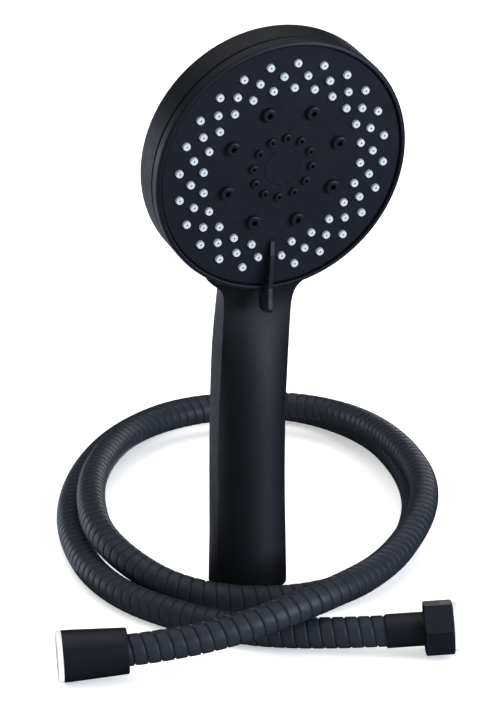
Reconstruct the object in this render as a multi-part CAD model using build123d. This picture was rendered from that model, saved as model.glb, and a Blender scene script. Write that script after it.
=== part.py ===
from build123d import *
import math
import os

os.makedirs("parts", exist_ok=True)

# ---------------------------------------------------------------- driving sizes
# frame: +Z up along the handle, origin at the centre of the inlet thread's end,
# the spray face looks toward -Y, X is sideways (mm, degrees)
FACE_TILT = 12.27         # face leans forward of the handle
FACE_Y, FACE_Z = -31.85, 210.60   # centre of the spray face
HEAD_TURN = -1.93         # the selector stands slightly off its middle spray
HEAD_R = 60.1             # head outside radius
RING_DEPTH = 8.2          # rotating front ring with its skirt
RING_REAR = 4.2           # depth of the ring's outside, its skirt goes on inside the cup
SEAM = 0.8                # gap between ring and cup
CUP_EDGE = 16.8           # depth where the cup side ends
CUP_BACK = 26.0           # depth of the cup's back
WALL = 2.5

FACE_R = 57.5             # spray face
FACE_T = 2.8
RING_1, RING_2, RING_3 = 38.12, 43.84, 49.56   # soft tip rings
TIP_PITCH = 15.0
TIP_R, TIP_TOP_R, TIP_BORE_R, TIP_H = 1.78, 1.62, 0.42, 1.2
JET_RING, JET_COUNT, JET_R, JET_BORE_R, JET_H = 27.8, 8, 3.4, 1.3, 2.2
MASSAGE_RING, MASSAGE_COUNT, MASSAGE_R, MASSAGE_BORE_R, MASSAGE_H = 14.2, 12, 2.15, 0.75, 1.4
CAP_R = 8.45              # cap, let in flush with the face

MAT_IN, MAT_OUT, MAT_T = 35.2, 53.2, 1.2
PLATE_R, PLATE_BACK, PLATE_T = 54.6, 12.0, 2.0
HUB_R, SPINDLE_R, SPINDLE_GAP = 8.7, 5.0, 0.05
PORT_RING, PORT_R, PORT_STEP = 24.0, 2.6, 30.0
TRACK_R = 40.0            # detent track radius

LEVER_T = 1.9
LEVER_IN, LEVER_OUT = 35.4, 69.6
LEVER_PROUD, LEVER_BACK = 8.7, 2.8

THREAD_R, THREAD_L = 10.48, 9.0    # G 1/2 outside thread
SHELL_BOTTOM = 9.0                 # seat of the inlet's flange
FOOT_Z = 5.5                       # end of the handle's skirt round the thread
TUBE_R, TUBE_BORE_R, STUB_R = 5.0, 3.9, 3.8

HOSE_R, HOSE_BORE_R = 7.0, 6.0
LINER_R, LINER_BORE_R = 5.5, 4.0
NUT_BORE_R = 10.55                 # G 1/2 inside thread
CONE_MOUTH_R, CONE_REAR_R, CONE_L = 11.35, 10.15, 28.4
HEX_AF, HEX_L, HEX_ROLL = 22.4, 12.8, -12.0
GUARD_T = 2.4

# hose route, from the hex nut to the cone nut
ROUTE = [
    (40.8, -101.8, 12.5), (-7.7, -80.6, 8.4), (-45.9, -43.7, 7.2), (-68.4, 11.5, 7.2),
    (-57.1, 84.9, 7.2), (-25.8, 154.9, 7.2), (20.6, 214.5, 7.2), (74.9, 245.7, 7.2),
    (128.2, 226.0, 7.5), (149.2, 171.1, 7.2), (139.2, 106.1, 7.2), (115.3, 46.3, 7.2),
    (75.3, -7.9, 7.2), (18.8, -43.4, 7.2), (-39.8, -21.6, 9.1), (-59.3, 35.9, 19.5),
    (-41.1, 99.0, 20.9), (-12.3, 153.4, 18.4), (24.1, 199.8, 14.7), (66.9, 221.5, 13.0),
    (113.1, 209.3, 15.8), (138.9, 168.9, 17.3), (132.2, 97.6, 23.5), (109.1, 22.1, 24.7),
    (55.7, -42.5, 21.6), (1.6, -81.5, 26.3), (-62.6, -83.7, 14.8), (-102.6, -71.0, 12.5),
]

# ---------------------------------------------------------------- helpers
ct, st = math.cos(math.radians(FACE_TILT)), math.sin(math.radians(FACE_TILT))
HEAD = Location(Plane(origin=(0, FACE_Y, FACE_Z), x_dir=(1, 0, 0), z_dir=(0, -ct, -st)))


def cyl(r, z0, z1, x=0.0, y=0.0):
    return Pos(x, y, z0) * Cylinder(r, z1 - z0, align=(Align.CENTER, Align.CENTER, Align.MIN))


def ring(r0, r1, z0, z1, x=0.0, y=0.0):
    return cyl(r1, z0, z1, x, y) - cyl(r0, z0 - 1, z1 + 1, x, y)


def cone(r0, r1, z0, z1, x=0.0, y=0.0):
    return Pos(x, y, z0) * Cone(r0, r1, z1 - z0, align=(Align.CENTER, Align.CENTER, Align.MIN))


def turned(pts):
    # solid of revolution about Z from (r, z) points
    return revolve(make_face(Plane.XZ * Polyline(*[(p[0], p[1]) for p in pts], close=True)), Axis.Z, 360)


def on_circle(r, deg):
    a = math.radians(deg)
    return r * math.cos(a), r * math.sin(a)


def box(x0, x1, y0, y1, z0, z1):
    return Pos((x0 + x1) / 2, (y0 + y1) / 2, (z0 + z1) / 2) * Box(x1 - x0, y1 - y0, z1 - z0)


def one(shape):
    # a single solid, whatever the boolean wrapped it in
    s = shape.solids()
    return max(s, key=lambda q: q.volume)


PARTS = {}


def put(name, shape, loc=None, group=False):
    if loc is not None:
        shape = loc * shape
    shape = Compound(children=list(shape.solids())) if group else one(shape)
    PARTS[name] = shape
    export_step(shape, "parts/%s.step" % name)


# ---------------------------------------------------------------- handle shell
def section(z, af, yf, yc, ab, yb, yr, bulge, inset=0.0):
    af, ab, yf, yc, yb, yr = af - inset, ab - inset, yf + inset * 0.5, yc + inset, yb - inset * 0.3, yr - inset
    fr, fl, bl, br = (af, yf, z), (-af, yf, z), (-ab, yb, z), (ab, yb, z)
    am, ym = (af + ab) / 2, (yf + yb) / 2
    w = Wire([
        Edge.make_three_point_arc(fr, (0, yc, z), fl),
        Edge.make_three_point_arc(fl, (-am - bulge, ym, z), bl),
        Edge.make_three_point_arc(bl, (0, yr, z), br),
        Edge.make_three_point_arc(br, (am + bulge, ym, z), fr),
    ])
    return Face(w)


SECTIONS = [
    # z, front half width, front edge, front crown, back half width, back edge, back, side bulge
    (FOOT_Z, 17.55, -5.05, -18.25, 17.55, 5.0, 18.25, 0.72),
    (12.0, 17.44, -4.90, -18.05, 17.44, 5.1, 18.16, 0.67),
    (20.0, 17.31, -4.59, -17.68, 17.31, 5.32, 18.04, 0.57),
    (30.0, 17.15, -4.2, -17.2, 17.15, 5.6, 17.9, 0.45),
    (42.0, 16.95, -3.75, -16.6, 17.00, 6.4, 17.85, 0.31),
    (55.0, 16.80, -3.4, -16.1, 16.85, 7.0, 17.8, 0.20),
    (68.0, 16.80, -3.1, -15.75, 16.90, 7.1, 17.7, 0.17),
    (80.0, 16.82, -3.05, -15.5, 16.95, 6.9, 17.6, 0.15),
    (92.0, 16.82, -3.6, -15.05, 17.05, 6.5, 17.35, 0.13),
    (103.0, 16.80, -4.5, -14.4, 17.15, 5.8, 17.0, 0.12),
    (112.0, 16.77, -5.2, -13.6, 17.22, 5.1, 16.55, 0.12),
    (120.0, 16.75, -5.9, -12.6, 17.25, 4.4, 16.0, 0.12),
    (127.0, 16.75, -6.5, -11.6, 17.10, 3.65, 15.35, 0.12),
    (134.0, 16.75, -7.2, -10.6, 16.85, 2.8, 14.6, 0.12),
    (142.0, 16.90, -8.2, -10.1, 16.45, 2.0, 13.6, 0.12),
    (147.0, 17.75, -9.5, -11.0, 16.15, 1.6, 12.8, 0.12),
    (150.5, 19.60, -11.0, -12.3, 15.95, 1.2, 12.1, 0.12),
    (154.0, 24.00, -12.3, -13.4, 15.85, 0.9, 11.4, 0.12),
    (158.0, 28.00, -12.8, -13.8, 16.10, 0.5, 10.6, 0.12),
    (163.0, 29.60, -12.7, -13.7, 16.90, -0.15, 9.75, 0.14),
    (169.0, 29.60, -12.6, -13.7, 18.20, -1.2, 8.5, 0.16),
    (176.0, 28.20, -12.9, -14.2, 19.60, -3.1, 6.5, 0.18),
    (184.0, 26.20, -13.8, -15.3, 20.20, -5.6, 3.6, 0.21),
    (192.0, 23.90, -15.3, -17.1, 20.10, -8.1, 0.5, 0.24),
    (200.0, 21.40, -17.1, -19.1, 19.30, -10.7, -3.3, 0.27),
    (208.0, 19.00, -19.0, -21.0, 18.00, -13.0, -7.4, 0.30),
]

outer_handle = loft([section(*s) for s in SECTIONS])
inner_handle = loft([section(*s, inset=WALL) for s in [(33.0,) + SECTIONS[3][1:]] + [s for s in SECTIONS if 40 < s[0] < 145]])
# narrow way through the neck for the water tube
neck_way = box(-8.0, 8.0, -6.5, 6.0, 140.0, 160.0) + cyl(6.0, 158.0, 170.2)

CUP_FRONT = -(RING_REAR + SEAM)
side = Polyline((0, -CUP_BACK), (0, CUP_FRONT), (HEAD_R - 0.3, CUP_FRONT), (HEAD_R, CUP_FRONT - 0.3), (HEAD_R, -CUP_EDGE))
dome = Spline((HEAD_R, -CUP_EDGE), (58.6, -19.9), (52.0, -23.2), (42.0, -24.9), (24.0, -25.8), (0, -CUP_BACK),
              tangents=((0, -1), (-1, 0)))
cup = revolve(make_face(Plane.XZ * (side + dome)), Axis.Z, 360)
hollow = turned([(0, CUP_FRONT + 1), (57.4, CUP_FRONT + 1), (57.4, -17.0),
                 (55.4, -18.9), (51.0, -20.7), (41.4, -22.4), (23.8, -23.3), (0, -23.5)])
screw_spots = [on_circle(44.0, a) for a in (20.0, 90.0, 160.0)]

shell = outer_handle + HEAD * cup
shell = shell - HEAD * hollow - inner_handle - neck_way
# nipple socket in the foot
shell = shell - cyl(13.02, 0, 34) - cyl(14.8, 0, SHELL_BOTTOM + 2.6)
shell = shell - turned([(17.6, FOOT_Z - 0.2), (20.0, FOOT_Z - 0.2), (20.0, FOOT_Z + 2.2)])
# screw posts inside the cup
for x, y in screw_spots:
    post = cyl(3.6, -23.6, -16.05, x, y) - cyl(1.52, -23.0, -10, x, y)
    shell = shell + HEAD * post
    shell = shell - HEAD * cyl(1.52, -22.4, -10, x, y)
# pocket for the valve body's duct
shell = shell - HEAD * box(-7.6, 7.6, -51.0, -30.0, -22.9, -15.0)
put("handle_shell", shell)

# ---------------------------------------------------------------- inlet
nipple = (cyl(THREAD_R, 0, SHELL_BOTTOM + 0.2) + cyl(14.7, SHELL_BOTTOM + 0.05, SHELL_BOTTOM + 2.55)
          + cyl(13.0, SHELL_BOTTOM + 2.5, 33.5))
nipple = nipple - cyl(4.0, -1, 40) - cyl(8.3, -1, 4.6) - cyl(7.0, 4.5, 13.05)
nipple = nipple - cyl(TUBE_R + 0.05, 20.0, 40) - ring(4.5, 6.6, 25.0, 27.0)
put("inlet_nipple", nipple)
put("filter_gasket", ring(5.6, 8.2, 0.6, 3.2))
screen = cyl(8.2, 3.25, 3.85)
holes = [(x * 1.5, y * 1.5) for x in range(-4, 5) for y in range(-4, 5) if x * x + y * y <= 12.5]
screen = screen - [cyl(0.5, 3, 4.2, x, y) for x, y in holes]
put("filter_screen", screen)
restrictor = cyl(6.95, 10.05, 13.0) - [cyl(0.9, 9, 14, *on_circle(3.2, 60 * k)) for k in range(6)]
put("flow_restrictor", restrictor)

# ---------------------------------------------------------------- water tube
put("water_tube", ring(TUBE_BORE_R, TUBE_R, 20.3, 159.5))
put("tube_o_ring_lower", Pos(0, 0, 26.0) * Torus(5.81, 0.77))
put("tube_o_ring_upper", Pos(0, 0, 153.0) * Torus(3.44, 0.42))

# ---------------------------------------------------------------- valve body
plate = cyl(52.0, -16.0, -13.0) + cyl(SPINDLE_R, -13.0, -6.2)
plate = plate + box(-7.2, 7.2, -50.5, 31.0, -22.6, -16.0)
plate = plate + cyl(4.3, -21.4, -16.0, TRACK_R, 0.0)
body = HEAD * plate
stub = cyl(STUB_R, 148.5, 166.0) + cyl(5.2, 160.0, 169.3)
body = body + stub
body = body - cyl(2.2, 140.0, 168.6) - (Pos(0, 0, 153.0) * Torus(3.44, 0.44))
body = body - HEAD * (Pos(0, -49.3, -19.0) * Rot(-90, 0, 0) * Cylinder(2.9, 76.3, align=(Align.CENTER, Align.CENTER, Align.MIN)))
body = body - HEAD * (cyl(2.9, -19.0, -10, 0.0, PORT_RING) + cyl(4.85, -13.6, -10, 0.0, PORT_RING))
body = body - HEAD * (cyl(2.02, -15.0, -5.0) + cyl(2.5, -20.4, -10, TRACK_R, 0.0))
for x, y in screw_spots:
    body = body - HEAD * (cyl(1.6, -17, -10, x, y) + cyl(3.0, -15.1, -10, x, y))
put("diverter_body", body)
put("port_seal", ring(3.2, 4.8, -13.55, -12.05, 0.0, PORT_RING), HEAD)
screws = []
for x, y in screw_spots:
    s = cyl(2.9, -15.05, -13.2, x, y) + cyl(1.5, -22.2, -15.0, x, y)
    s = s - box(x - 1.9, x + 1.9, y - 0.3, y + 0.3, -13.9, -13.0) - box(x - 0.3, x + 0.3, y - 1.9, y + 1.9, -13.9, -13.0)
    screws.append(one(s))
put("body_screws", Compound(children=screws), HEAD, group=True)

# detent
pin = cyl(2.44, -15.6, -13.2) + cyl(1.5, -13.3, -12.6)
pin = pin + (Pos(0, 0, -12.6) * Sphere(1.3) & cyl(3, -12.7, -11.0))
put("detent_pin", Pos(TRACK_R, 0, 0) * pin, HEAD)
coil_path = Helix(pitch=1.15, height=4.0, radius=1.9)
coil = sweep(Plane(origin=coil_path @ 0, z_dir=coil_path % 0) * Circle(0.28), path=coil_path, is_frenet=True)
put("detent_spring", Pos(TRACK_R, 0, -20.0) * coil, HEAD)

# ---------------------------------------------------------------- rotating head
LEVER_DEG = -90.0 + HEAD_TURN
top_wall = -(FACE_T + 0.05)
chan = cyl(PLATE_R, -PLATE_BACK, -PLATE_BACK + PLATE_T)
chan = chan + ring(53.4, PLATE_R, -10.1, top_wall) + ring(33.0, 34.4, -10.1, top_wall)
chan = chan + ring(19.8, 21.2, -10.1, top_wall) + cyl(HUB_R, -10.1, top_wall)
for side, r0, r1 in ((-1, 33.0, 34.4), (1, 19.8, 21.2)):
    ang = 90.0 + side * PORT_STEP
    px, py = on_circle(PORT_RING, ang)
    lo, hi = (PORT_RING - 4.6, 33.6) if side < 0 else (20.4, PORT_RING + 4.6)
    duct = box(lo, hi, -4.6, 4.6, -10.1, top_wall)
    room = box(lo + 1.4 if side < 0 else 16.0, hi + 4.0 if side < 0 else hi - 1.4, -3.2, 3.2, -9.95, top_wall - 1.2)
    chan = (chan + Rot(0, 0, ang) * duct) - Rot(0, 0, ang) * room
for k in (-1, 0, 1):
    chan = chan - cyl(PORT_R, -13, -9.0, *on_circle(PORT_RING, 90.0 + k * PORT_STEP))
chan = chan - ring(TRACK_R - 1.9, TRACK_R + 1.9, -13, -PLATE_BACK + 0.8)
for k in (-1, 0, 1):
    x, y = on_circle(TRACK_R, k * PORT_STEP)
    chan = chan - Pos(x, y, -PLATE_BACK + 0.2) * Sphere(1.5)
chan = chan - cyl(SPINDLE_R + SPINDLE_GAP, -13, -5) - cyl(7.4, -6.5, 0)
put("channel_plate", chan, HEAD)

blade = box(9.6, 18.4, -0.5, 0.5, -9.2, -4.4)
wheel = ring(HUB_R + 0.08, 10.3, -9.4, -4.2)
for k in range(6):
    wheel = wheel + Rot(0, 0, 60 * k) * (Pos(14, 0, -6.8) * Rot(24, 0, 0) * Pos(-14, 0, 6.8) * blade)
wheel = wheel + ring(18.0, 19.2, -9.4, -8.4)
put("massage_turbine", wheel, HEAD)

put("retaining_washer", ring(2.1, 7.0, -6.15, -5.45), HEAD)
screw = cyl(3.8, -5.4, -3.3) + cyl(2.0, -14.0, -5.3)
screw = screw - cyl(1.5, -4.3, -3.0)
put("face_screw", screw, HEAD)

# soft mat with its tips
tip_spots = []
for r, first, n, off in ((RING_1, 1, 23, 0.0), (RING_2, 0, 24, TIP_PITCH / 2), (RING_3, 1, 23, 0.0)):
    for k in range(n):
        tip_spots.append(on_circle(r, LEVER_DEG + off + TIP_PITCH * (k + first)))
jet_spots = [on_circle(JET_RING, LEVER_DEG + 22.5 + 45.0 * k) for k in range(JET_COUNT)]
massage_spots = [on_circle(MASSAGE_RING, LEVER_DEG + 30.0 * k) for k in range(MASSAGE_COUNT)]

tip = cyl(TIP_R, -FACE_T - 0.6, 0.35)
tip = tip + cone(TIP_R, TIP_TOP_R, 0.35, TIP_H)
mat = ring(MAT_IN, MAT_OUT, -FACE_T - 0.06 - MAT_T, -FACE_T - 0.06)
mat = mat + [Pos(x, y, 0) * tip for x, y in tip_spots]
mat = mat - [cyl(TIP_BORE_R, -6, 3, x, y) for x, y in tip_spots]
put("nozzle_mat", mat, HEAD)

# spray face
face = turned([(7.2, -FACE_T), (FACE_R, -FACE_T), (FACE_R, -0.45), (FACE_R - 0.45, 0.0), (7.2, 0.0)])
jet = turned([(0, -0.05), (JET_R, -0.05), (JET_R - 0.25, JET_H - 0.5), (JET_R - 0.4, JET_H - 0.15),
              (JET_R - 0.75, JET_H), (0, JET_H)])
small = turned([(0, -0.05), (MASSAGE_R, -0.05), (MASSAGE_R - 0.15, MASSAGE_H - 0.35), (MASSAGE_R - 0.28, MASSAGE_H - 0.1),
                (MASSAGE_R - 0.5, MASSAGE_H), (0, MASSAGE_H)])
face = face + [Pos(x, y, 0) * jet for x, y in jet_spots] + [Pos(x, y, 0) * small for x, y in massage_spots]
face = face - [cyl(TIP_R + 0.15, -5, 2, x, y) for x, y in tip_spots]
face = face - [cyl(JET_BORE_R, -5, 5, x, y) + cone(2.5, JET_BORE_R, -FACE_T - 0.1, 0.6, x, y) for x, y in jet_spots]
face = face - [cyl(MASSAGE_BORE_R, -5, 5, x, y) for x, y in massage_spots]
face = face - cyl(CAP_R + 0.1, -0.9, 1) - Rot(0, 0, HEAD_TURN) * box(-0.85, 0.85, -54.2, -39.8, -1.75, 1)
put("spray_face", face, HEAD)

cap = turned([(0, -2.4), (7.1, -2.4), (7.1, -0.85), (CAP_R, -0.85), (CAP_R, -0.02), (CAP_R - 0.2, 0.12), (0, 0.3)])
put("center_cap", cap, HEAD)

# front ring: rounded outer edge, a narrow crest, and a step down to the face
rim = [(54.9, -RING_DEPTH), (57.0, -RING_DEPTH), (57.0, -RING_REAR), (HEAD_R - 0.3, -RING_REAR), (HEAD_R, -RING_REAR + 0.3),
       (HEAD_R, -0.2), (HEAD_R - 0.1, 0.22), (HEAD_R - 0.35, 0.6), (HEAD_R - 0.75, 0.93), (HEAD_R - 1.25, 1.18),
       (HEAD_R - 1.7, 1.26), (HEAD_R - 2.0, 1.16), (HEAD_R - 2.2, 0.92), (FACE_R + 0.35, 0.6),
       (FACE_R + 0.35, -FACE_T - 0.05), (54.9, -FACE_T - 0.05)]
put("front_ring", turned(rim), HEAD)

# selector lever, a thin fin that passes the rim
lp = [(-LEVER_IN, 0.05), (-LEVER_IN - 0.3, 0.9), (-LEVER_IN - 1.0, 1.5), (-42.0, 3.2), (-48.6, 4.4), (-57.0, 5.7),
      (-62.0, 7.3), (-66.0, LEVER_PROUD), (-67.0, LEVER_PROUD - 0.05), (-67.9, LEVER_PROUD - 0.6), (-68.7, 6.0),
      (-LEVER_OUT + 0.2, 3.0), (-LEVER_OUT, 0.8), (-LEVER_OUT + 0.3, -0.6), (-LEVER_OUT + 1.4, -1.3),
      (-64.0, -LEVER_BACK + 0.4), (-62.2, -LEVER_BACK), (-61.1, -LEVER_BACK + 0.4), (-60.6, -LEVER_BACK + 1.2), (-60.5, 0.5),
      (-60.0, 1.15), (-59.0, 1.5), (-57.9, 1.5), (-57.3, 1.1), (-57.0, 0.05)]
fin = extrude(make_face(Plane.YZ * Polyline(*lp, close=True)), LEVER_T / 2, both=True)
fin = Rot(0, 0, HEAD_TURN) * (fin + box(-0.8, 0.8, -54.0, -40.0, -1.65, 0.2))
put("selector_lever", fin, HEAD)

# ---------------------------------------------------------------- hose
def arc_path(points):
    pts = [Vector(*p) for p in points]
    radii = []
    edges = []
    last = pts[0]
    for i in range(1, len(pts) - 1):
        a, b = pts[i - 1] - pts[i], pts[i + 1] - pts[i]
        t = 0.45 * min(a.length, b.length)
        turn = math.pi - math.radians(a.get_angle(b))
        r = t / math.tan(turn / 2)
        radii.append(round(r, 1))
        a, b = a.normalized(), b.normalized()
        p0, p1 = pts[i] + a * t, pts[i] + b * t
        mid_dir = (a + b).normalized()
        mid = pts[i] + mid_dir * (math.hypot(r, t) - r)
        edges.append(Edge.make_line(last, p0))
        edges.append(Edge.make_three_point_arc(p0, mid, p1))
        last = p1
    edges.append(Edge.make_line(last, pts[-1]))
    return Wire(edges), radii


path, bend_radii = arc_path(ROUTE)
print("hose bend radii", bend_radii)
print("hose length along the path", round(path.length, 1))
start = Plane(origin=path @ 0, z_dir=path % 0)


def tube(ro, ri):
    return sweep(start * (Circle(ro) - Circle(ri)), path=path)


sheath = tube(HOSE_R, HOSE_BORE_R)
liner = tube(LINER_R, LINER_BORE_R)
print("sheath volume ratio", round(sheath.volume / (math.pi * (HOSE_R ** 2 - HOSE_BORE_R ** 2) * path.length), 4))
print("liner volume ratio", round(liner.volume / (math.pi * (LINER_R ** 2 - LINER_BORE_R ** 2) * path.length), 4))
put("hose_sheath", sheath)
put("hose_liner", liner)


def end_location(tip, inner):
    d = (Vector(*tip) - Vector(*inner)).normalized()
    side = d.cross(Vector(0, 0, 1)).normalized()
    # local z runs out of the hose, local x stays level
    return Location(Plane(origin=tip, x_dir=side, z_dir=d)), d


HEX, hex_dir = end_location(ROUTE[0], ROUTE[1])
CONE, cone_dir = end_location(ROUTE[-1], ROUTE[-2])

# local z of the hose ends: the sheath stops at 0, the nut's rear face is at NUT_REAR
FLANGE_Z = 2.2
SEAT_Z = FLANGE_Z + 4.1

# cone nut end: sleeve and flange sit inside the nut
CONE_REAR = -12.0
put("cone_ferrule", ring(7.05, 7.9, -11.0, 0.05) + ring(4.35, 7.9, 0.05, 1.9), CONE)
put("cone_insert", (ring(2.8, 3.95, -14.0, 2.0) + ring(2.8, 9.8, FLANGE_Z - 0.25, FLANGE_Z + 2.0)), CONE)
put("cone_washer", ring(4.5, 9.8, FLANGE_Z + 2.05, FLANGE_Z + 4.05), CONE)
mouth = CONE_REAR + CONE_L
nut = turned([(8.0, CONE_REAR), (CONE_REAR_R - 0.5, CONE_REAR), (CONE_REAR_R, CONE_REAR + 0.5),
              (CONE_MOUTH_R - 0.05, mouth - 4.0), (CONE_MOUTH_R, mouth - 3.5), (CONE_MOUTH_R, mouth),
              (NUT_BORE_R, mouth), (NUT_BORE_R, SEAT_Z), (10.0, SEAT_Z), (10.0, 1.9), (8.0, 1.9)])
nut = nut - ring(10.0, 11.0, mouth - 1.8, mouth + 1)
put("cone_nut", nut, CONE)
guard = turned([(10.65, mouth - 1.7), (10.95, mouth - 1.7), (10.95, mouth + 0.05), (CONE_MOUTH_R - 0.1, mouth + 0.05),
                (CONE_MOUTH_R - 0.1, mouth + GUARD_T - 0.3), (CONE_MOUTH_R - 0.4, mouth + GUARD_T), (10.65, mouth + GUARD_T)])
put("cone_guard", guard, CONE)

# hex nut end: a longer sleeve shows behind the nut
HEX_REAR = -1.0
hmouth = HEX_REAR + HEX_L
put("hex_ferrule", ring(7.05, 7.6, -18.0, 0.05) + ring(4.35, 7.6, 0.05, 1.9), HEX)
put("hex_insert", ring(2.8, 3.95, -14.0, 2.0) + ring(2.8, 9.8, FLANGE_Z - 0.25, FLANGE_Z + 2.0), HEX)
put("hex_washer", ring(4.5, 9.8, FLANGE_Z + 2.05, FLANGE_Z + 4.05), HEX)
hexa = extrude(Plane.XY.offset(HEX_REAR) * RegularPolygon(HEX_AF / 2, 6, major_radius=False, rotation=HEX_ROLL), HEX_L)
corner = HEX_AF / math.sqrt(3)
hexa = hexa & turned([(0, HEX_REAR), (corner - 0.9, HEX_REAR), (corner + 0.2, HEX_REAR + 0.7),
                      (corner + 0.2, hmouth - 0.7), (corner - 0.9, hmouth), (0, hmouth)])
hexa = hexa - cyl(7.7, HEX_REAR - 1, hmouth) - cyl(10.0, 1.9, hmouth) - cyl(NUT_BORE_R, SEAT_Z, hmouth + 1) - ring(10.0, 10.95, hmouth - 1.8, hmouth + 1)
put("hex_nut", hexa, HEX)
guard = turned([(10.65, hmouth - 1.7), (10.9, hmouth - 1.7), (10.9, hmouth + 0.05), (HEX_AF / 2 - 0.1, hmouth + 0.05),
                (HEX_AF / 2 - 0.1, hmouth + GUARD_T - 0.3), (HEX_AF / 2 - 0.35, hmouth + GUARD_T), (10.65, hmouth + GUARD_T)])
put("hex_guard", guard, HEX)

print("cone mouth", [round(v, 3) for v in (CONE * Pos(0, 0, mouth + GUARD_T)).position], [round(v, 5) for v in cone_dir])
print("hex mouth", [round(v, 3) for v in (HEX * Pos(0, 0, hmouth + GUARD_T)).position], [round(v, 5) for v in hex_dir])
print("cone bore", [round(v, 3) for v in (CONE * Pos(0, 0, (SEAT_Z + mouth - 1.8) / 2)).position], round(mouth - 1.8 - SEAT_Z, 3))
print("hex bore", [round(v, 3) for v in (HEX * Pos(0, 0, (SEAT_Z + hmouth - 1.8) / 2)).position], round(hmouth - 1.8 - SEAT_Z, 3))
print("pin spot", [round(v, 3) for v in (HEAD * Pos(TRACK_R, 0, -14)).position])
for n, s in PARTS.items():
    bb = s.bounding_box()
    print("%-20s solids %d vol %.1f  x %.1f %.1f y %.1f %.1f z %.1f %.1f" % (
        n, len(s.solids()), s.volume, bb.min.X, bb.max.X, bb.min.Y, bb.max.Y, bb.min.Z, bb.max.Z))
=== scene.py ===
import math

import bpy
import numpy as np
from mathutils import Matrix, Vector


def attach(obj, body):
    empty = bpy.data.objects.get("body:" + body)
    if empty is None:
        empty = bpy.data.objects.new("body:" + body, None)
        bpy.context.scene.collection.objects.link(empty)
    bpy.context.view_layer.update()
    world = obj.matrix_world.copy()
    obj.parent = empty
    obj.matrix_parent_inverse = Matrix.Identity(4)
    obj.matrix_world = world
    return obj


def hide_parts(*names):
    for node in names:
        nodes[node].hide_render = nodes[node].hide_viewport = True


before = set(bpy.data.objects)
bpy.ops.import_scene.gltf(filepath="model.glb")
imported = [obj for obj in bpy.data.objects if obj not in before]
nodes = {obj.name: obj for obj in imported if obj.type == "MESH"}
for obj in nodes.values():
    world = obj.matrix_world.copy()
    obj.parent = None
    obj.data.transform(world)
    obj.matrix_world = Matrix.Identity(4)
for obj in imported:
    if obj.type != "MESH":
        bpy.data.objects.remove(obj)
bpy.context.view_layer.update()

scene = bpy.context.scene


# ---------------------------------------------------------------- camera
def make_camera():
    elevation, azimuth, roll = (math.radians(a) for a in (17.0, 24.825, -0.65))
    right = Vector((math.cos(azimuth), -math.sin(azimuth), 0.0))
    back = Vector((-math.sin(azimuth) * math.cos(elevation),
                   -math.cos(azimuth) * math.cos(elevation), math.sin(elevation)))
    up = back.cross(right)
    c, s = math.cos(roll), math.sin(roll)
    x_axis = right * c - up * s
    y_axis = right * s + up * c
    data = bpy.data.cameras.new("photo_camera")
    data.sensor_width = 36.0
    data.sensor_fit = "AUTO"
    data.lens = 151.54
    data.clip_start = 0.05
    data.clip_end = 50.0
    data.dof.use_dof = False
    cam = bpy.data.objects.new("photo_camera", data)
    scene.collection.objects.link(cam)
    m = Matrix.Identity(4)
    for i, axis in enumerate((x_axis, y_axis, back)):
        for j in range(3):
            m[j][i] = axis[j]
    m.translation = Vector((-0.54381, -1.17728, 0.51324))
    cam.matrix_world = m
    scene.camera = cam
    return cam


make_camera()


# ---------------------------------------------------------------- hose line
ROUTE = [
    (0.0408, -0.1018, 0.0125), (-0.0077, -0.0806, 0.0084), (-0.0459, -0.0437, 0.0072),
    (-0.0684, 0.0115, 0.0072), (-0.0571, 0.0849, 0.0072), (-0.0258, 0.1549, 0.0072),
    (0.0206, 0.2145, 0.0072), (0.0749, 0.2457, 0.0072), (0.1282, 0.2260, 0.0075),
    (0.1492, 0.1711, 0.0072), (0.1392, 0.1061, 0.0072), (0.1153, 0.0463, 0.0072),
    (0.0753, -0.0079, 0.0072), (0.0188, -0.0434, 0.0072), (-0.0398, -0.0216, 0.0091),
    (-0.0593, 0.0359, 0.0195), (-0.0411, 0.0990, 0.0209), (-0.0123, 0.1534, 0.0184),
    (0.0241, 0.1998, 0.0147), (0.0669, 0.2215, 0.0130), (0.1131, 0.2093, 0.0158),
    (0.1389, 0.1689, 0.0173), (0.1322, 0.0976, 0.0235), (0.1091, 0.0221, 0.0247),
    (0.0557, -0.0425, 0.0216), (0.0016, -0.0815, 0.0263), (-0.0626, -0.0837, 0.0148),
    (-0.1026, -0.0710, 0.0125),
]
HOSE_R = 0.0070
HOSE_PITCH = 0.0058


def hose_points():
    """Points read from the one smooth line through the route's control points."""
    data = bpy.data.curves.new("hose_line", "CURVE")
    data.dimensions = "3D"
    spline = data.splines.new("NURBS")
    spline.points.add(len(ROUTE) - 1)
    for p, co in zip(spline.points, ROUTE):
        p.co = (co[0], co[1], co[2], 1.0)
    spline.order_u = 3
    spline.use_endpoint_u = True
    spline.resolution_u = 40
    obj = bpy.data.objects.new("hose_line", data)
    scene.collection.objects.link(obj)
    bpy.context.view_layer.update()
    mesh = bpy.data.meshes.new_from_object(obj)
    pts = np.empty(len(mesh.vertices) * 3)
    mesh.vertices.foreach_get("co", pts)
    pts = pts.reshape(-1, 3)
    bpy.data.meshes.remove(mesh)
    bpy.data.objects.remove(obj)
    bpy.data.curves.remove(data)
    return pts


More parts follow.
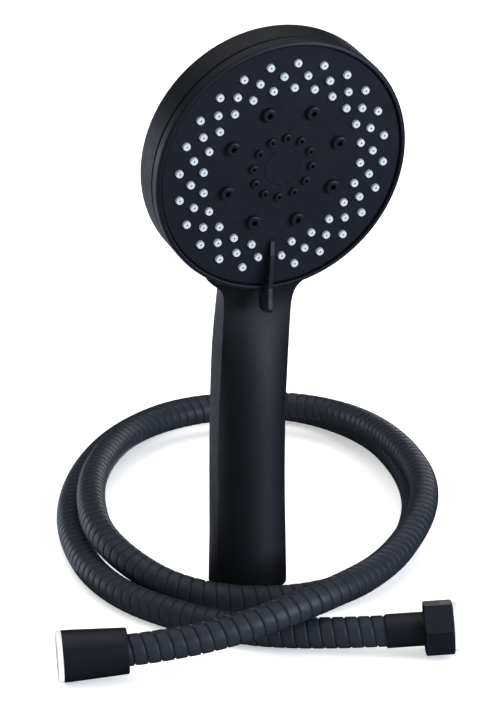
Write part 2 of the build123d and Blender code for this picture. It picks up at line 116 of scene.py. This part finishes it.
def along(pts):
    """Arc length and a twist-free frame at each point of a line."""
    seg = np.diff(pts, axis=0)
    length = np.linalg.norm(seg, axis=1)
    keep = np.concatenate(([True], length > 1e-7))
    pts = pts[keep]
    seg = np.diff(pts, axis=0)
    length = np.linalg.norm(seg, axis=1)
    s = np.concatenate(([0.0], np.cumsum(length)))
    tang = np.gradient(pts, s, axis=0)
    tang /= np.linalg.norm(tang, axis=1)[:, None]
    normal = np.empty_like(pts)
    n = np.cross(tang[0], (0.0, 0.0, 1.0))
    n = np.cross(n, tang[0])
    normal[0] = n / np.linalg.norm(n)
    for i in range(1, len(pts)):
        n = normal[i - 1] - tang[i] * np.dot(normal[i - 1], tang[i])
        normal[i] = n / np.linalg.norm(n)
    return pts, s, tang, normal


LINE, LINE_S, LINE_T, LINE_N = along(hose_points())
LINE_B = np.cross(LINE_T, LINE_N)


def on_line(s):
    """Centre, normal and binormal of the hose line at arc lengths s."""
    out = []
    for field in (LINE, LINE_N, LINE_B):
        out.append(np.stack([np.interp(s, LINE_S, field[:, k]) for k in range(3)], axis=-1))
    return out


def mesh_object(name, verts, faces, smooth=True):
    mesh = bpy.data.meshes.new(name)
    mesh.from_pydata([tuple(v) for v in verts], [], [tuple(int(i) for i in f) for f in faces])
    mesh.validate()
    mesh.update()
    if smooth:
        mesh.polygons.foreach_set("use_smooth", [True] * len(mesh.polygons))
    obj = bpy.data.objects.new(name, mesh)
    scene.collection.objects.link(obj)
    return obj


def make_hose():
    """A strip wound in a helix: smooth crowned bands with a narrow groove between turns."""
    steps = 44
    profile = [
        (0.000, 6.36), (0.045, 6.36), (0.075, 6.66), (0.105, 6.90), (0.160, 6.985),
        (0.300, 7.020), (0.520, 7.030), (0.740, 7.020), (0.880, 6.985), (0.940, 6.90), (0.972, 6.64),
    ]
    p = np.array([a for a, _ in profile])
    r = np.array([b for _, b in profile]) / 1000.0
    total = LINE_S[-1]
    turns = int(total / HOSE_PITCH) - 2
    count = turns * steps
    i = np.arange(count)
    s = HOSE_PITCH * (i[:, None] / steps + p[None, :]) + 0.2 * HOSE_PITCH
    theta = np.repeat((2 * math.pi * i / steps)[:, None], len(p), axis=1)
    centre, normal, binormal = on_line(s)
    verts = centre + r[None, :, None] * (np.cos(theta)[..., None] * normal + np.sin(theta)[..., None] * binormal)
    k = len(p)
    idx = np.arange(count * k).reshape(count, k)
    faces = []
    a = idx[:-1, :-1].ravel()
    b = idx[:-1, 1:].ravel()
    c = idx[1:, 1:].ravel()
    d = idx[1:, :-1].ravel()
    faces.append(np.stack([a, d, c, b], axis=1))
    lead = count - steps
    a = idx[: lead - 1, -1]
    b = idx[steps: steps + lead - 1, 0]
    c = idx[steps + 1: steps + lead, 0]
    d = idx[1: lead, -1]
    faces.append(np.stack([a, d, c, b], axis=1))
    obj = mesh_object("hose", verts.reshape(-1, 3), np.concatenate(faces))
    return obj


hose = make_hose()
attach(hose, "shower_body")
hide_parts("hose_sheath", "hose_liner")


# ---------------------------------------------------------------- materials
def new_material(name):
    mat = bpy.data.materials.new(name)
    mat.use_nodes = True
    tree = mat.node_tree
    tree.nodes.clear()
    out = tree.nodes.new("ShaderNodeOutputMaterial")
    bsdf = tree.nodes.new("ShaderNodeBsdfPrincipled")
    tree.links.new(bsdf.outputs["BSDF"], out.inputs["Surface"])
    return mat, tree, bsdf


def noise(tree, scale, detail=3.0, rough=0.55, stretch=None):
    coord = tree.nodes.new("ShaderNodeTexCoord")
    node = tree.nodes.new("ShaderNodeTexNoise")
    node.inputs["Scale"].default_value = scale
    node.inputs["Detail"].default_value = detail
    node.inputs["Roughness"].default_value = rough
    if stretch:
        mapping = tree.nodes.new("ShaderNodeMapping")
        mapping.inputs["Scale"].default_value = stretch
        tree.links.new(coord.outputs["Object"], mapping.inputs["Vector"])
        tree.links.new(mapping.outputs["Vector"], node.inputs["Vector"])
    else:
        tree.links.new(coord.outputs["Object"], node.inputs["Vector"])
    return node


def ramp(tree, source, stops):
    node = tree.nodes.new("ShaderNodeValToRGB")
    el = node.color_ramp.elements
    el[0].position, el[0].color = stops[0][0], stops[0][1]
    el[1].position, el[1].color = stops[1][0], stops[1][1]
    tree.links.new(source, node.inputs["Fac"])
    return node


def spread(tree, source, low, high):
    node = tree.nodes.new("ShaderNodeMapRange")
    node.inputs["From Min"].default_value = 0.25
    node.inputs["From Max"].default_value = 0.75
    node.inputs["To Min"].default_value = low
    node.inputs["To Max"].default_value = high
    tree.links.new(source, node.inputs["Value"])
    return node


def finish(name, dark, light, rough, grain=0.0, grain_scale=2500.0, blotch=60.0, metallic=0.0,
           specular=0.5, stretch=None, bump_depth=0.00002, sheen=0.0, coat=0.0, coat_rough=0.1, subsurface=0.0):
    """A surface with slow colour drift, uneven gloss and a fine moulded or drawn grain."""
    mat, tree, bsdf = new_material(name)
    slow = noise(tree, blotch, 4.0, 0.6)
    tint = ramp(tree, slow.outputs["Fac"], ((0.3, (*dark, 1.0)), (0.7, (*light, 1.0))))
    tree.links.new(tint.outputs["Color"], bsdf.inputs["Base Color"])
    mid = noise(tree, blotch * 4.0, 3.0, 0.6)
    gloss = spread(tree, mid.outputs["Fac"], rough[0], rough[1])
    tree.links.new(gloss.outputs["Result"], bsdf.inputs["Roughness"])
    fine = noise(tree, grain_scale, 2.0, 0.5, stretch)
    bump = tree.nodes.new("ShaderNodeBump")
    bump.inputs["Strength"].default_value = grain
    bump.inputs["Distance"].default_value = bump_depth
    tree.links.new(fine.outputs["Fac"], bump.inputs["Height"])
    tree.links.new(bump.outputs["Normal"], bsdf.inputs["Normal"])
    bsdf.inputs["Metallic"].default_value = metallic
    bsdf.inputs["Specular IOR Level"].default_value = specular
    if sheen:
        bsdf.inputs["Sheen Weight"].default_value = sheen
    if coat:
        bsdf.inputs["Coat Weight"].default_value = coat
        bsdf.inputs["Coat Roughness"].default_value = coat_rough
    if subsurface:
        bsdf.inputs["Subsurface Weight"].default_value = subsurface
        bsdf.inputs["Subsurface Radius"].default_value = (0.002, 0.002, 0.002)
    return mat


def grey(v):
    return (v, v, v)


DARK, PALE = (0.0042, 0.0057, 0.0106), (0.0052, 0.0071, 0.0130)
GRIP_DARK, GRIP_PALE = (0.0030, 0.0042, 0.0076), (0.0038, 0.0053, 0.0094)
HOSE_DARK, HOSE_PALE = (0.0128, 0.0166, 0.0240), (0.0160, 0.0206, 0.0296)
M = {
    "handle_black": finish("satin_black", GRIP_DARK, GRIP_PALE, (0.52, 0.60), 0.35, 3200.0, 45.0, specular=0.36),
    "ring_black": finish("ring_black", DARK, PALE, (0.48, 0.56), 0.35, 3200.0, 45.0, specular=0.30),
    "face_black": finish("face_black", DARK, PALE, (0.40, 0.50), 0.40, 3600.0, 55.0, specular=0.30),
    "lever_black": finish("lever_black", DARK, PALE, (0.34, 0.44), 0.35, 3200.0, 45.0, specular=0.30),
    "silicone_white": finish("silicone_white", (0.35, 0.385, 0.42), (0.395, 0.425, 0.455), (0.50, 0.62), 0.20, 4000.0, 300.0,
                             specular=0.3),
    "inner_grey": finish("inner_grey", (0.16, 0.17, 0.18), (0.20, 0.21, 0.22), (0.40, 0.52), 0.3, 2500.0, 80.0),
    "brass": finish("brass", (0.62, 0.44, 0.18), (0.70, 0.52, 0.24), (0.22, 0.34), 0.3, 2500.0, 120.0, metallic=1.0),
    "steel": finish("steel", (0.50, 0.51, 0.52), (0.60, 0.61, 0.62), (0.22, 0.34), 0.3, 2500.0, 120.0, metallic=1.0),
    "seal_rubber": finish("seal_rubber", (0.018, 0.018, 0.019), (0.028, 0.028, 0.029), (0.60, 0.75), 0.4, 2500.0, 120.0),
    "white_plastic": finish("white_plastic", (0.70, 0.72, 0.73), (0.76, 0.78, 0.79), (0.35, 0.48), 0.2, 3500.0, 200.0),
    "hose_black": finish("hose_black", HOSE_DARK, HOSE_PALE, (0.43, 0.53), 0.30, 3200.0, 60.0, specular=0.28),
    "nut_black": finish("nut_black", DARK, PALE, (0.40, 0.50), 0.30, 3200.0, 70.0, specular=0.30),
    "liner": finish("liner", (0.55, 0.56, 0.56), (0.62, 0.63, 0.63), (0.45, 0.55), 0.2, 2500.0, 120.0),
}

SLOT_OF = {
    "handle_shell": "handle_black", "inlet_nipple": "brass", "filter_gasket": "seal_rubber",
    "filter_screen": "steel", "flow_restrictor": "white_plastic", "water_tube": "inner_grey",
    "tube_o_ring_lower": "seal_rubber", "tube_o_ring_upper": "seal_rubber", "diverter_body": "inner_grey",
    "body_screws": "steel", "port_seal": "seal_rubber", "face_screw": "steel", "retaining_washer": "steel",
    "hose_sheath": "hose_black", "hose_liner": "liner", "cone_washer": "seal_rubber", "cone_ferrule": "nut_black",
    "cone_insert": "brass", "hex_washer": "seal_rubber", "hex_ferrule": "nut_black", "hex_insert": "brass",
    "detent_spring": "steel", "channel_plate": "inner_grey", "front_ring": "ring_black", "spray_face": "face_black",
    "nozzle_mat": "silicone_white", "center_cap": "face_black", "selector_lever": "lever_black",
    "massage_turbine": "white_plastic", "detent_pin": "steel", "cone_nut": "nut_black", "cone_guard": "white_plastic",
    "hex_nut": "nut_black", "hex_guard": "white_plastic",
}


def paint(obj, mat):
    if not obj.material_slots:
        obj.data.materials.append(mat)
    for slot in obj.material_slots:
        slot.material = mat


for name, obj in nodes.items():
    paint(obj, M[SLOT_OF[name]])
paint(hose, M["hose_black"])

# the nearly flat top of the cap is shaded as one face, without a point in its middle
weld = nodes["center_cap"].modifiers.new("weld", "WELD")
weld.merge_threshold = 0.00001
flat = nodes["center_cap"].modifiers.new("flat_top", "DECIMATE")
flat.decimate_type = "DISSOLVE"
flat.angle_limit = math.radians(4.0)
even = nodes["center_cap"].modifiers.new("even_normals", "WEIGHTED_NORMAL")
even.weight = 100


# ---------------------------------------------------------------- floor and light
def make_floor():
    half = 6.0
    verts = [(-half, -half, 0.0), (half, -half, 0.0), (half, half, 0.0), (-half, half, 0.0)]
    floor = mesh_object("floor", [Vector(v) for v in verts], [(0, 1, 2, 3)], smooth=False)
    mat = finish("pale_floor", (0.92, 0.92, 0.925), (0.94, 0.94, 0.945), (0.75, 0.85), 0.05, 400.0, 3.0, specular=0.1)
    # a back-lit sweep: a little light of its own keeps the shadows faint
    bsdf = next(n for n in mat.node_tree.nodes if n.type == "BSDF_PRINCIPLED")
    bsdf.inputs["Emission Color"].default_value = (1.0, 1.0, 1.0, 1.0)
    bsdf.inputs["Emission Strength"].default_value = 0.45
    paint(floor, mat)
    floor.visible_glossy = False


make_floor()


def area(name, place, target, size, power, colour=(1, 1, 1)):
    data = bpy.data.lights.new(name, "AREA")
    data.shape = "RECTANGLE"
    data.size, data.size_y = size
    data.energy = power
    data.color = colour
    obj = bpy.data.objects.new(name, data)
    scene.collection.objects.link(obj)
    obj.location = place
    aim = Vector(target) - Vector(place)
    obj.rotation_euler = aim.to_track_quat("-Z", "Y").to_euler()
    return obj


COOL = (0.90, 0.97, 1.15)
area("top_softbox", (0.0, 0.3, 1.9), (0.0, 0.1, 0.0), (2.4, 2.4), 20.0)
area("left_panel", (-0.42, 0.80, 0.001), (-0.42, 0.80, 1.0), (0.90, 1.50), 3.6, COOL).visible_camera = False
area("left_softbox", (-0.60, 1.10, 0.14), (0.0, 0.0, 0.08), (0.80, 0.26), 2.2, COOL)
area("right_softbox", (0.84, -1.09, 0.29), (0.0, 0.0, 0.03), (0.95, 0.28), 10.6, COOL)
area("front_softbox", (0.52, -0.86, 0.52), (0.0, 0.0, 0.02), (0.55, 0.40), 3.2, COOL)
area("back_softbox", (0.80, 0.95, 0.15), (0.0, 0.0, 0.10), (0.50, 0.28), 1.2)

world = bpy.data.worlds.new("studio")
world.use_nodes = True
bg = world.node_tree.nodes.get("Background")
bg.inputs["Color"].default_value = (1.0, 1.0, 1.0, 1.0)
bg.inputs["Strength"].default_value = 0.80
world.cycles_visibility.glossy = False
scene.world = world
scene.view_settings.view_transform = "Standard"
